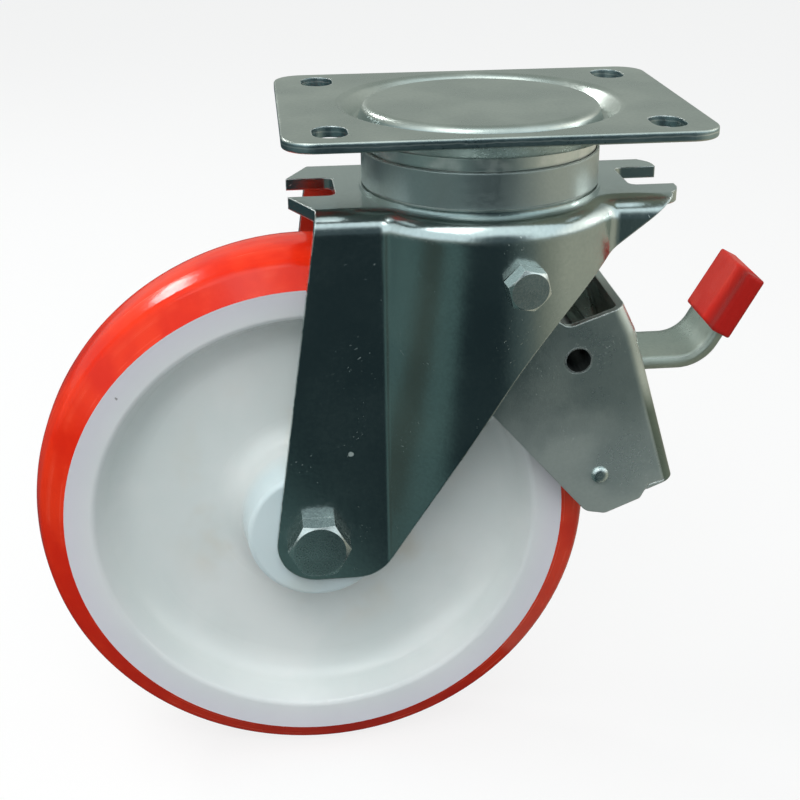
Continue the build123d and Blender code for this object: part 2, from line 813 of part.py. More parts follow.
def make_pedal_cap():
    strap_end = pedal_path() @ 1 + Vector(pedal_sheet / 2, 0).rotate(Axis.Z, pedal_angle)
    cap_end = pedal_sheet / 2 + cap_end_wall
    cap_mouth = pedal_sheet / 2 + cap_mouth_wall
    cap_half_width = pedal_half_width + cap_side_wall
    outline = Polygon(
        (cap_wall, cap_end),
        (cap_wall - cap_length, cap_mouth),
        (cap_wall - cap_length, -cap_mouth),
        (cap_wall, -cap_end),
        align=None,
    )
    profile = Pos(strap_end.X, strap_end.Y) * Rot(0, 0, pedal_angle) * outline
    cap = fillet(side_plate(profile, -cap_half_width, cap_half_width).edges(), cap_round)
    socket_half_width = pedal_half_width + seat_fit
    return on_brake(cap - side_plate(strap_outline(seat_fit), -socket_half_width, socket_half_width))


# ---------------------------------------------------------------- brake shoe
def band(inner_radius, outer_radius, from_angle, to_angle):
    """Part of a ring round the axle, drawn in (x, z)."""
    whole = Circle(outer_radius) - Circle(inner_radius)
    start = Vector(REACH, 0).rotate(Axis.Z, from_angle)
    end = Vector(REACH, 0).rotate(Axis.Z, to_angle)
    wedge = Polygon((0, 0), (start.X, start.Y), (end.X, end.Y), align=None)
    return Pos(-wheel_radius, 0) * (whole & wedge)


def make_brake_shoe():
    """Pressed shoe, drawn against the tread and then turned back to its released place."""
    face = wheel_radius + shoe_face_gap
    foot_angle = degrees(asin((stub_z + shoe_foot_above_stub) / face))
    top_angle = degrees(asin((pedal_top - pedal_sheet - shoe_below_pedal) / face))
    plate = band(face, face + shoe_sheet, foot_angle, top_angle)
    eye_angle = degrees(atan2(stub_z, wheel_radius + stub_x))
    flange = band(face, face + shoe_flange_height, eye_angle, top_angle)
    flange += Pos(stub_x, stub_z) * Circle(shoe_eye_radius)
    shoe = side_plate(plate, -shoe_half_width, shoe_half_width)
    for side in (-1, 1):
        middle = side * (shoe_half_width - shoe_flange_sheet / 2)
        shoe += side_plate(flange, middle - shoe_flange_sheet / 2, middle + shoe_flange_sheet / 2)
    shoe -= through_both_sides(stub_radius + running_fit, stub_x, stub_z)
    return on_brake(turned_about(shoe, stub_x, stub_z, shoe_release_angle))


def make_shoe_rivets():
    length = housing_half_width - shoe_half_width + shoe_flange_sheet + running_fit
    head = bar(stub_head_radius, 0, stub_head_height)
    dome = fillet(head.edges().group_by(Axis.Z)[-1], stub_head_round)
    tail = bar(stub_head_radius, -length - stub_head_height / 2, -length)
    rivet = dome + bar(stub_radius, -length, 0) + tail
    return [on_brake(on_housing(rivet, stub_x, stub_z, side)) for side in (-1, 1)]


# ---------------------------------------------------------------- build and write
def build():
    """Every node by name, each with one solid or a list of like ones."""
    legs = leg_block(0)
    seat = bolt_seat(legs)
    upper_balls = ball_ring(upper_ball_pitch_radius, upper_ball_z, upper_ball_diameter, upper_ball_count)
    lower_balls = ball_ring(lower_ball_pitch_radius, lower_ball_z, lower_ball_diameter, lower_ball_count)
    washer_hole = king_pin_thread_radius + seat_fit
    washer = ring(washer_hole, king_washer_radius, king_washer_bottom, lower_race_bottom)
    king_nut = hex_nut(king_pin_thread_radius, king_nut_across_flats, king_nut_height)
    return {
        "top_plate": make_top_plate(),
        "upper_race": make_upper_race(),
        "upper_balls": upper_balls,
        "crown_race": make_crown_race(),
        "dust_ring": make_dust_ring(),
        "lower_balls": lower_balls,
        "lower_race": make_lower_race(),
        "king_pin": make_king_pin(),
        "king_pin_washer": washer,
        "king_pin_nut": Pos(0, 0, king_washer_bottom) * king_nut,
        "fork": make_fork(legs, seat),
        "axle_bolt": make_axle_bolt(),
        "axle_nut": make_axle_nut(),
        "axle_sleeve": make_axle_sleeve(),
        "roller_cage": make_roller_cage(),
        "hub_rollers": make_rollers(),
        "wheel_centre": make_wheel_centre(),
        "tread": make_tread(),
        "brake_housing": make_housing(seat),
        "brake_bolts": make_brake_bolts(seat),
        "brake_nuts": make_brake_nuts(seat),
        "pedal": make_pedal(),
        "pedal_cap": make_pedal_cap(),
        "pedal_sleeve": make_pedal_sleeve(),
        "brake_shoe": make_brake_shoe(),
        "shoe_rivets": make_shoe_rivets(),
    }


for node, shape in build().items():
    pieces = shape if isinstance(shape, list) else [shape]
    solids = [solid for piece in pieces for solid in piece.solids()]
    export_step(Compound(children=solids), f"parts/{node}.step")
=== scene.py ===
# %% [markdown]
# # A swivel castor with a foot brake
# The castor arrives as finished solids: a pressed plate, a ball-race head, a fork, a wheel, and a brake
# with its pedal. This lesson dresses them. It sets a camera and studio light round them, then gives every
# piece the finish it has on the real thing: zinc-plated sheet, white cast nylon, red elastic tread.
# All lengths are in metres, and the swivel axis is the Z axis through the origin.

# %% Load the solids
import bpy
import math
from mathutils import Matrix, Vector


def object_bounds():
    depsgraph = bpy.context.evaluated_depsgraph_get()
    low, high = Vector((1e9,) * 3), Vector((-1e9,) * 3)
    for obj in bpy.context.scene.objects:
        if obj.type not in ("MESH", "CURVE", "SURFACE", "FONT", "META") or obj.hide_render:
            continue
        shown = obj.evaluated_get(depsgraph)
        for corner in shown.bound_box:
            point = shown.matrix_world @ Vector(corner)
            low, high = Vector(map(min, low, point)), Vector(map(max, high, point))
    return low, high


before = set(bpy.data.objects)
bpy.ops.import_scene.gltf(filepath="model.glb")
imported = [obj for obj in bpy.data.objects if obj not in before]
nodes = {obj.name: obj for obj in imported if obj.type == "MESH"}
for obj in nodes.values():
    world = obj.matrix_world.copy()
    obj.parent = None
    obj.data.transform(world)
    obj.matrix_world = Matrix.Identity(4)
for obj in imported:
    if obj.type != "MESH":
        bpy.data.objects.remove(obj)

cad_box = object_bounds()
print("pieces", len(nodes), "box", [round(v, 4) for v in (*cad_box[0], *cad_box[1])])

# %% [markdown]
# The CAD export cuts curved faces into flat triangles. Shading them smooth, except where two faces meet
# at a real edge, gives the round faces back without moving a vertex.

# %% Smooth the round faces
EDGE_ANGLE = math.radians(28)


def shade_smooth(piece):
    """Smooth shading that keeps the real edges of a piece sharp."""
    mesh = piece.data
    mesh.polygons.foreach_set("use_smooth", [True] * len(mesh.polygons))
    mesh.set_sharp_from_angle(angle=EDGE_ANGLE)


for piece in nodes.values():
    shade_smooth(piece)
print("shaded", len(nodes), "pieces")

# %% [markdown]
# ## Camera
# The castor is seen from a little above and a little to the left of straight on, with a long lens from
# close by, so that the plate's top face shows as well as the wheel's side.

# %% Camera
EYE = Vector((-0.074644, -0.447365, 0.095187))
YAW, PITCH, ROLL = 0.10472, 0.42385, -0.00796  # radians
LENS, SENSOR = 61.18, 36  # mm
NEAREST = 0.01


def look(eye, yaw, pitch, roll):
    """Matrix of a camera that looks along +Y, turned right by yaw, down by pitch and rolled."""
    ahead = Vector((math.sin(yaw) * math.cos(pitch), math.cos(yaw) * math.cos(pitch), -math.sin(pitch)))
    right = Vector((math.cos(yaw), -math.sin(yaw), 0))
    up = right.cross(ahead)
    rolled_right = right * math.cos(roll) + up * math.sin(roll)
    rolled_up = up * math.cos(roll) - right * math.sin(roll)
    turn = Matrix((rolled_right, rolled_up, -ahead)).transposed()
    return Matrix.Translation(eye) @ turn.to_4x4()


camera = bpy.data.objects.new("camera", bpy.data.cameras.new("camera"))
camera.data.lens = LENS
camera.data.sensor_width = SENSOR
camera.data.clip_start = NEAREST
camera.matrix_world = look(EYE, YAW, PITCH, ROLL)
bpy.context.scene.collection.objects.link(camera)
bpy.context.scene.camera = camera
bpy.context.scene.view_settings.view_transform = "Standard"
print("camera", [round(v, 3) for v in camera.location])

# %% [markdown]
# ## A small kit for shader nodes
# A material is a graph of nodes. Written out node by node it is long and hard to follow, so short helpers
# stand for the steps: one adds a node with its fields set and its inputs fed, and the others are the
# sums, mixtures and ranges that masks are made of.

# %% Nodes and sums


def feed(tree, socket, value):
    """Join a socket to another one, or give it a value of its own."""
    if isinstance(value, bpy.types.NodeSocket):
        tree.links.new(value, socket)
    else:
        socket.default_value = value


def add(tree, kind, inputs=None, **fields):
    """A new node, with its fields set and its inputs fed."""
    node = tree.nodes.new("ShaderNode" + kind)
    for name, value in fields.items():
        setattr(node, name, value)
    for name, value in (inputs or {}).items():
        feed(tree, node.inputs[name], value)
    return node


def maths(tree, operation, first, second=0.5, clamp=False):
    """One step of arithmetic on two values or sockets."""
    return add(tree, "Math", {0: first, 1: second}, operation=operation, use_clamp=clamp).outputs[0]


def product(tree, *factors):
    """Several values or sockets multiplied."""
    result = factors[0]
    for factor in factors[1:]:
        result = maths(tree, "MULTIPLY", result, factor)
    return result


def blend_colours(tree, share, first, second, how="MIX"):
    """Two colours mixed by a share from 0 to 1."""
    node = add(tree, "Mix", data_type="RGBA", blend_type=how)
    for index, value in ((0, share), (6, first), (7, second)):
        feed(tree, node.inputs[index], value)
    return node.outputs[2]


def ramp(tree, value, low, high, to_low=0.0, to_high=1.0):
    """One range of a value turned smoothly into another."""
    limits = {"Value": value, "From Min": low, "From Max": high, "To Min": to_low, "To Max": to_high}
    return add(tree, "MapRange", limits, interpolation_type="SMOOTHSTEP").outputs[0]


def axis_part(tree, vector, axis):
    """One part of a vector, by the name of its axis."""
    return add(tree, "SeparateXYZ", {0: vector}).outputs[axis]


print("sums ready")

# %% [markdown]
# An effect that several finishes share becomes a node group: a graph with named inputs and outputs. It is
# built once, and each material then places it with its own values.

# %% Groups


def new_group(name, inputs, outputs):
    """An empty node group: its tree, its input sockets by name and its output node."""
    tree = bpy.data.node_groups.new(name, "ShaderNodeTree")
    for direction, sockets in (("INPUT", inputs), ("OUTPUT", outputs)):
        for label, kind, value in sockets:
            socket = tree.interface.new_socket(label, in_out=direction, socket_type="NodeSocket" + kind)
            if value is not None:
                socket.default_value = value
    start = tree.nodes.new("NodeGroupInput")
    end = tree.nodes.new("NodeGroupOutput")
    return tree, start.outputs, end.inputs


def use(tree, group, **inputs):
    """Place a group in a tree and return its outputs."""
    node = tree.nodes.new("ShaderNodeGroup")
    node.node_tree = group
    for name, value in inputs.items():
        feed(tree, node.inputs[name.replace("_", " ")], value)
    return node.outputs


print("groups ready")

# %% [markdown]
# A finish starts from Blender's Principled shader, which covers metal and plastic alike. It reads its
# place from the piece's own coordinates, so the finish moves with the piece. The stage needs other
# shaders, so its materials start bare.

# %% Materials


def new_material(name):
    """A material with one Principled shader: its tree, the shader and the place on the surface."""
    material = bpy.data.materials.new(name)
    material.use_nodes = True
    tree = material.node_tree
    shader = tree.nodes["Principled BSDF"]
    place = add(tree, "TexCoord").outputs["Object"]
    return material, tree, shader, place


def bare_material(name):
    """A material without a shader, for the stage: its tree and where its surface goes."""
    material = bpy.data.materials.new(name)
    material.use_nodes = True
    tree = material.node_tree
    tree.nodes.remove(tree.nodes["Principled BSDF"])
    return material, tree, tree.nodes["Material Output"].inputs["Surface"]


def dress(material, *names):
    """Give a material to CAD pieces by name."""
    for name in names:
        piece = nodes[name]
        piece.data.materials.clear()
        piece.data.materials.append(material)


print("materials ready")

# %% [markdown]
# ## Studio
# Polished metal shows the room more than it shows itself. So the room is made first: a pale front wall
# and ceiling that act as one very large soft lamp, a grey-green back wall, a bright window on the pedal's
# side, and a dim place low in front. Wide shapes in the room give the long soft bands on the bent sheet.
# Matt surfaces take less of the room, because lamps light them, and the camera sees plain white.

# %% Room
BACK_WALL = (0.40, 0.44, 0.41, 1)
FRONT_LIGHT = (1.12, 1.26, 1.30, 1)
SIDE_WINDOW = (1.75, 1.72, 1.62, 1)
DIM_PLACE = (0.07, 0.10, 0.11, 1)
PLAIN_WHITE = (1, 1, 1, 1)
DIM_AIM = Vector((0.14, -0.96, 0.17)).normalized()
# Each part of the room fades in between two values of one part of the aim, or of its agreement with DIM_AIM.
FRONT_FADE, FRONT_HORIZON = (-0.35, 0.45), (-0.02, 0.22)
WINDOW_FADE, WINDOW_SILL = (0.72, 0.95), (-0.02, 0.16)
DIM_FADE = (0.87, 0.98)
MATT_WINDOW_LOSS = 0.8  # share of the window that matt surfaces do without
MATT_ROOM_LOSS = 0.55  # share of the whole room that they do without

world = bpy.data.worlds.new("studio room")
bpy.context.scene.world = world
world.use_nodes = True
room = world.node_tree
background = room.nodes["Background"].inputs
aim = add(room, "TexCoord").outputs["Generated"]
along = add(room, "SeparateXYZ", {0: aim}).outputs
ray = add(room, "LightPath").outputs


def kept_by_matt(loss):
    """All of a light for most rays, and less of it for those that light matt surfaces."""
    return maths(room, "SUBTRACT", 1.0, maths(room, "MULTIPLY", ray["Is Diffuse Ray"], loss))


forward = maths(room, "MULTIPLY", along["Y"], -1.0)
front = product(room, ramp(room, forward, *FRONT_FADE), ramp(room, along["Z"], *FRONT_HORIZON))
side = product(room, ramp(room, along["X"], *WINDOW_FADE), ramp(room, along["Z"], *WINDOW_SILL))
side = product(room, side, kept_by_matt(MATT_WINDOW_LOSS))
facing = add(room, "VectorMath", {0: aim, 1: DIM_AIM}, operation="DOT_PRODUCT").outputs["Value"]
colour = blend_colours(room, front, BACK_WALL, FRONT_LIGHT)
colour = blend_colours(room, side, colour, SIDE_WINDOW)
colour = blend_colours(room, ramp(room, facing, *DIM_FADE), colour, DIM_PLACE)
colour = blend_colours(room, ray["Is Camera Ray"], colour, PLAIN_WHITE)
room.links.new(colour, background["Color"])
room.links.new(kept_by_matt(MATT_ROOM_LOSS), background["Strength"])
print("room lit")

# %% [markdown]
# The floor is pale and keeps a soft shadow. Seen by the camera or in a reflection, most of its tone is its
# own plain white, and the rest takes the light and shade that fall on it. Matt surfaces get little light
# back from it, so that the undersides stay dark.

# %% Floor
FLOOR_REACH = 6.0
FLOOR_TONE = (0.86, 0.87, 0.87, 1)
FLOOR_WHITE = 0.82  # share of plain white in what the eye sees of the floor
FLOOR_BOUNCE = (0.06, 0.07, 0.075, 1)  # what most of the floor gives back to matt surfaces
BOUNCE_SHARE = 0.75


def flat_sheet(name, height):
    """A flat square as wide as the floor."""
    mesh = bpy.data.meshes.new(name)
    corners = ((-1, -1), (1, -1), (1, 1), (-1, 1))
    mesh.from_pydata([(x * FLOOR_REACH, y * FLOOR_REACH, height) for x, y in corners], [], [(0, 1, 2, 3)])
    sheet = bpy.data.objects.new(name, mesh)
    bpy.context.scene.collection.objects.link(sheet)
    return sheet


floor_height = cad_box[0].z
floor = flat_sheet("floor", floor_height)
material, tree, surface = bare_material("pale floor")
lit = add(tree, "BsdfDiffuse", {"Color": FLOOR_TONE}).outputs[0]
plain = add(tree, "Emission", {"Color": PLAIN_WHITE}).outputs[0]
dim = add(tree, "Emission", {"Color": FLOOR_BOUNCE}).outputs[0]
ray = add(tree, "LightPath").outputs
seen = maths(tree, "ADD", ray["Is Camera Ray"], ray["Is Glossy Ray"], clamp=True)
seen = maths(tree, "ADD", seen, ray["Is Transmission Ray"], clamp=True)
look_of_it = add(tree, "MixShader", {0: product(tree, seen, FLOOR_WHITE), 1: lit, 2: plain}).outputs[0]
bounce = product(tree, ray["Is Diffuse Ray"], BOUNCE_SHARE)
tree.links.new(add(tree, "MixShader", {0: bounce, 1: look_of_it, 2: dim}).outputs[0], surface)
floor.data.materials.append(material)
print("floor at", round(floor_height, 4))

# %% [markdown]
# A studio stands cards round polished metal, out of the picture, to give its faces their tones. Here
# one large card lies just above the floor, painted as a fan of sectors round the castor: deep in front,
# so that flat faces go dark, and paler at the sides, so that curved ones carry upright bands. Only
# reflections show the card: it throws no shadow and takes no light from the floor.

# %% Fan of cards
FAN_LIFT = 0.002
FAN_CENTRE = (0.03, -0.02)
DEEP, SHADY, BROWN = (0.020, 0.034, 0.038), (0.035, 0.062, 0.068), (0.062, 0.084, 0.074)
SLATE, TEAL, MIST = (0.075, 0.105, 0.104), (0.090, 0.150, 0.145), (0.13, 0.16, 0.15)
SAND, WARM = (0.26, 0.27, 0.22), (0.47, 0.46, 0.37)
FAN = (  # degrees round from -Y, and the colour there; the fan starts and ends SHADY at the back
    (-95, SHADY), (-70, TEAL), (-58, TEAL), (-50, BROWN), (-42, BROWN), (-36, TEAL), (-27, TEAL),
    (-19, DEEP), (9, DEEP), (20, SLATE), (30, MIST), (42, SAND), (62, WARM), (150, WARM),
)

card = flat_sheet("fan of cards", floor_height + FAN_LIFT)
material, tree, surface = bare_material("fan of cards")
where = add(tree, "SeparateXYZ", {0: add(tree, "TexCoord").outputs["Object"]}).outputs
right = maths(tree, "SUBTRACT", where["X"], FAN_CENTRE[0])
ahead = maths(tree, "SUBTRACT", FAN_CENTRE[1], where["Y"])
turn = maths(tree, "DIVIDE", maths(tree, "ARCTAN2", right, ahead), 2 * math.pi)
sectors = add(tree, "ValToRGB", {0: maths(tree, "ADD", turn, 0.5)})
stops = sectors.color_ramp.elements
for angle, colour in FAN:
    stops.new((angle + 180) / 360).color = (*colour, 1)
stops[0].color = stops[-1].color = (*SHADY, 1)
tree.links.new(add(tree, "Emission", {"Color": sectors.outputs[0]}).outputs[0], surface)
card.data.materials.append(material)
card.visible_camera = card.visible_diffuse = card.visible_transmission = False
card.visible_shadow = card.visible_volume_scatter = False
print("fan of", len(stops), "sectors")

# %% [markdown]
# Lamps add what the room alone can't. Two wide ones give form to matt surfaces, from above at the left
# and from the front, and stay out of reflections. The others are seen in them as well: a soft key whose
# image runs along the bent sheet, and two small windows on the tread and in the wheel's dish.

# %% Lamps
AIM_POINT = Vector((-0.04, 0, -0.12))
LAMPS = (  # name, degrees round from -Y, degrees up, distance, size, radiance, colour, seen in reflections
    ("overhead softbox", -100, 60, 1.3, 0.60, 5.9, (1.0, 0.99, 0.97), False),
    ("front softbox", -10, 42, 1.4, 0.80, 3.4, (0.98, 1.0, 1.0), False),
    ("key softbox", -35, 58, 1.3, 0.70, 2.2, (1.0, 0.98, 0.95), True),
    ("back window", -140, 34, 1.2, 0.20, 20, (1.0, 1.0, 1.0), True),
    ("side window", 92, 19, 1.3, 0.10, 22, (1.0, 0.97, 0.93), True),
)


def window_lamp(name, side_turn, height_angle, distance, size, radiance, colour, mirrored):
    """A square lamp that faces the castor."""
    turn, rise = math.radians(side_turn), math.radians(height_angle)
    way = Vector((math.sin(turn) * math.cos(rise), -math.cos(turn) * math.cos(rise), math.sin(rise)))
    lamp = bpy.data.lights.new(name, "AREA")
    lamp.size = size
    lamp.energy = radiance * math.pi * size**2
    lamp.color = colour
    holder = bpy.data.objects.new(name, lamp)
    holder.location = AIM_POINT + way * distance
    holder.rotation_mode = "QUATERNION"
    holder.rotation_quaternion = way.to_track_quat("Z", "Y")
    holder.visible_glossy = mirrored
    bpy.context.scene.collection.objects.link(holder)


for lamp in LAMPS:
    window_lamp(*lamp)
print("lamps", len(bpy.data.lights))

# %% [markdown]
# ## Effects shared by the finishes
# Each effect is a node group with named inputs, built once. The first is the cloudy tone of a zinc
# plating: broad soft clouds, with a fine grain on top.

# %% Group: cloudy plating
CLOUD_CONTRAST, GRAIN_CONTRAST = (0.34, 0.66), (0.30, 0.70)  # noise values that become 0 and 1

tree, given, out = new_group(
    "cloudy plating",
    [("Place", "Vector", None), ("Cloud Size", "Float", 0.03), ("Grain Size", "Float", 0.0012)],
    [("Cloud", "Float", None), ("Grain", "Float", None)],
)
cloud_scale = maths(tree, "DIVIDE", 1.0, given["Cloud Size"])
clouds = add(tree, "TexNoise", {"Vector": given["Place"], "Scale": cloud_scale, "Detail": 4.0})
grain_scale = maths(tree, "DIVIDE", 1.0, given["Grain Size"])
grains = add(tree, "TexNoise", {"Vector": given["Place"], "Scale": grain_scale, "Detail": 3.0})
tree.links.new(ramp(tree, clouds.outputs["Fac"], *CLOUD_CONTRAST), out["Cloud"])
tree.links.new(ramp(tree, grains.outputs["Fac"], *GRAIN_CONTRAST), out["Grain"])
cloudy_plating = tree
print("group", tree.name)

# %% [markdown]
# Handling leaves hair scratches. Noise stretched fiftyfold along one way makes streaks, a threshold
# keeps only the thinnest of them, and a second noise breaks them into short runs.

# %% Group: hair scratches
STREAK_STRETCH = (1, 1, 0.02)
RAREST_STREAK, STREAK_GAIN = 0.80, 0.12  # the threshold with no scratches asked for, and its fall
PATCH_SCALE, PATCH_CONTRAST = 45.0, (0.50, 0.62)

tree, given, out = new_group(
    "hair scratches",
    [
        ("Place", "Vector", None),
        ("Turn", "Vector", (0, 0, 0)),
        ("Width", "Float", 0.0004),
        ("Amount", "Float", 0.5),
    ],
    [("Scratch", "Float", None)],
)
turned = add(tree, "Mapping", {"Vector": given["Place"], "Rotation": given["Turn"]}).outputs[0]
stretched = add(tree, "Mapping", {"Vector": turned, "Scale": STREAK_STRETCH}).outputs[0]
fineness = maths(tree, "DIVIDE", 1.0, given["Width"])
streaks = add(tree, "TexNoise", {"Vector": stretched, "Scale": fineness, "Detail": 1.0}).outputs["Fac"]
patches = add(tree, "TexNoise", {"Vector": turned, "Scale": PATCH_SCALE, "Detail": 2.0}).outputs["Fac"]
limit = maths(tree, "SUBTRACT", RAREST_STREAK, product(tree, given["Amount"], STREAK_GAIN))
thin = ramp(tree, maths(tree, "SUBTRACT", streaks, limit), 0.0, 0.05)
short = ramp(tree, patches, *PATCH_CONTRAST)
tree.links.new(product(tree, thin, short), out["Scratch"])
hair_scratches = tree
print("group", tree.name)

# %% [markdown]
# Small knocks leave bright nicks. Voronoi cells scatter points evenly, and a random number for each cell
# keeps only a few of them and gives them different sizes. A fine noise moves the place a little before
# the cells read it, which makes the outlines ragged.

# %% Group: nicks
RAGGED_SCALE, RAGGED_SHIFT = 700.0, 0.0016

tree, given, out = new_group(
    "nicks",
    [
        ("Place", "Vector", None),
        ("Spacing", "Float", 0.012),
        ("Size", "Float", 0.1),
        ("Share", "Float", 0.2),
    ],
    [("Nick", "Float", None)],
)
bent = add(tree, "TexNoise", {"Vector": given["Place"], "Scale": RAGGED_SCALE, "Detail": 2.0}).outputs["Color"]
wobble = add(tree, "VectorMath", {0: bent, 1: (0.5, 0.5, 0.5)}, operation="SUBTRACT").outputs[0]
wobble = add(tree, "VectorMath", {0: wobble, "Scale": RAGGED_SHIFT}, operation="SCALE").outputs[0]
ragged = add(tree, "VectorMath", {0: given["Place"], 1: wobble}, operation="ADD").outputs[0]
density = maths(tree, "DIVIDE", 1.0, given["Spacing"])
cells = add(tree, "TexVoronoi", {"Vector": ragged, "Scale": density}).outputs
luck = add(tree, "SeparateColor", {0: cells["Color"]}).outputs
chosen = ramp(tree, luck[0], maths(tree, "SUBTRACT", 1.0, given["Share"]), 1.0)
inside = maths(tree, "SUBTRACT", product(tree, given["Size"], chosen), cells["Distance"])
tree.links.new(ramp(tree, inside, 0.0, 0.02), out["Nick"])
nicks = tree
print("group", tree.name)

# %% [markdown]
# Pressing and handling polish the edges of a sheet, so they catch more light. The Bevel node gives the
# normal that a rounded edge would have, and where it departs from the true one, there is an edge.

# %% Group: bright edges
EDGE_ROUNDING = 0.0007
EDGE_CONTRAST = (0.02, 0.22)  # how far the two normals disagree
GAP_SCALE, GAP_CONTRAST = 260.0, (0.10, 0.35)

tree, given, out = new_group(
    "bright edges",
    [("Place", "Vector", None), ("Breaks", "Float", 0.4)],
    [("Edge", "Float", None)],
)
rounded = add(tree, "Bevel", {"Radius": EDGE_ROUNDING}, samples=4).outputs[0]
true_normal = add(tree, "NewGeometry").outputs["Normal"]
agree = add(tree, "VectorMath", {0: rounded, 1: true_normal}, operation="DOT_PRODUCT").outputs["Value"]
edge = ramp(tree, maths(tree, "SUBTRACT", 1.0, agree), *EDGE_CONTRAST)
gaps = add(tree, "TexNoise", {"Vector": given["Place"], "Scale": GAP_SCALE, "Detail": 3.0}).outputs["Fac"]
whole = maths(tree, "SUBTRACT", gaps, product(tree, given["Breaks"], 0.5))
tree.links.new(product(tree, edge, ramp(tree, whole, *GAP_CONTRAST)), out["Edge"])
bright_edges = tree
print("group", tree.name)

# %% [markdown]
# A thread is a helix, so its height depends on two things only: how far along the bolt a point lies and
# how far round. Their sum, with one turn for each pitch, drives a saw shape for a Bump node.

# %% Group: screw thread
tree, given, out = new_group(
    "screw thread",
    [("Along", "Float", 0.0), ("Round", "Float", 0.0), ("Pitch", "Float", 0.00175)],
    [("Ridge", "Float", None)],
)
turns = maths(tree, "DIVIDE", given["Along"], given["Pitch"])
round_share = maths(tree, "DIVIDE", given["Round"], 2 * math.pi)
tree.links.new(maths(tree, "PINGPONG", maths(tree, "ADD", turns, round_share), 0.5), out["Ridge"])
screw_thread = tree
print("group", tree.name)

# %% [markdown]
# ## Zinc-plated sheet
# The plate, fork, housing, pedal and shoe are pressed from sheet and then zinc-plated. The plating is a
# metal, so its base colour is the tint of its reflections. Clouds vary that tint and the roughness
# together. Scratches and knocks are rougher than the skin round them, and so they show pale on dark.
# Four marks belong to single pieces, and each is a short function of the place or the normal:
# - a bloom makes the housing's plating milky towards its foot;
# - painted shade darkens the lower half of the housing's folds that turn towards +X;
# - the plate's sheared edge is darker, with a wavy pale line torn along it;
# - the fork's round land under the dust ring keeps crisp, plain edges.

# %% Marks of single pieces
FOLD_START, FOLD_END = (0.10, 0.30), (0.99, 0.90)  # how much of a fold's normal lies along +X
SIDE_FACE = (0.5, 0.2)  # how much of the normal is upright
WAVE_SCALE, WAVE_DEPTH = 170.0, 0.0012
TORN_WIDTH, TORN_SHARE = (0.00030, 0.00010), 0.6
CLOUDED_BLOOM = (0.7, 1.0)  # the clouds thin the bloom a little


def bloom_share(tree, place, cloud, heights):
    """Share of milky plating, coming in between two heights."""
    height = axis_part(tree, place, "Z")
    return product(tree, ramp(tree, height, *heights), ramp(tree, cloud, 0, 1, *CLOUDED_BLOOM))


def fold_shade_share(tree, place, heights):
    """Share of painted shade on the folds that turn towards +X, coming in between two heights."""
    facing = axis_part(tree, add(tree, "TexCoord").outputs["Normal"], "X")
    fold = product(tree, ramp(tree, facing, *FOLD_START), ramp(tree, facing, *FOLD_END))
    return product(tree, fold, ramp(tree, axis_part(tree, place, "Z"), *heights))


def sheared_face(tree, place, level):
    """Share of a sheet's side face, and of the pale line torn along it near a height."""
    upright = maths(tree, "ABSOLUTE", axis_part(tree, add(tree, "TexCoord").outputs["Normal"], "Z"))
    steep = ramp(tree, upright, *SIDE_FACE)
    wave = add(tree, "TexNoise", {"Vector": place, "Scale": WAVE_SCALE, "Detail": 2.0}).outputs["Fac"]
    height = maths(tree, "ADD", axis_part(tree, place, "Z"), product(tree, wave, WAVE_DEPTH))
    away = maths(tree, "ABSOLUTE", maths(tree, "SUBTRACT", height, level))
    return steep, product(tree, steep, ramp(tree, away, *TORN_WIDTH), TORN_SHARE)


def beyond_land(tree, place, radii):
    """0 near the swivel axis and 1 farther out, changing between two radii."""
    level = add(tree, "VectorMath", {0: place, 1: (1, 1, 0)}, operation="MULTIPLY").outputs[0]
    return ramp(tree, add(tree, "VectorMath", {0: level}, operation="LENGTH").outputs["Value"], *radii)


print("four marks ready")

# %% [markdown]
# One function makes every plated sheet, because the pieces differ in values more than in kind. It works
# in four parts: the tint, the marks on it, the roughness that goes with them, and the relief. The Bevel
# node rolls the sheet's edges, and the Bump node lays grain and scratches over that.

# %% Plated sheet
BARE_BRIGHT = (0.80, 0.83, 0.81, 1)  # where the skin is scratched, knocked or rubbed
SPECK, SPECK_SHARE = (0.72, 0.76, 0.74, 1), 0.2
# painted shade for the housing's lower folds
FOLD_PAINTED_SHADE = (0.26, 0.30, 0.26, 1)
SHEARED = (0.34, 0.44, 0.46, 1)
SCRATCH_TURNS = (0.4, 0.5, 0.0), (0.3, -0.9, 0.4)
SCRATCH_STRENGTH = 0.7
MARK_ROUGHNESS = 0.6  # of a scratch, a nick or a bright edge
MILKY_METAL = (0.94, 0.70)  # how metallic the plating stays from no bloom to full bloom


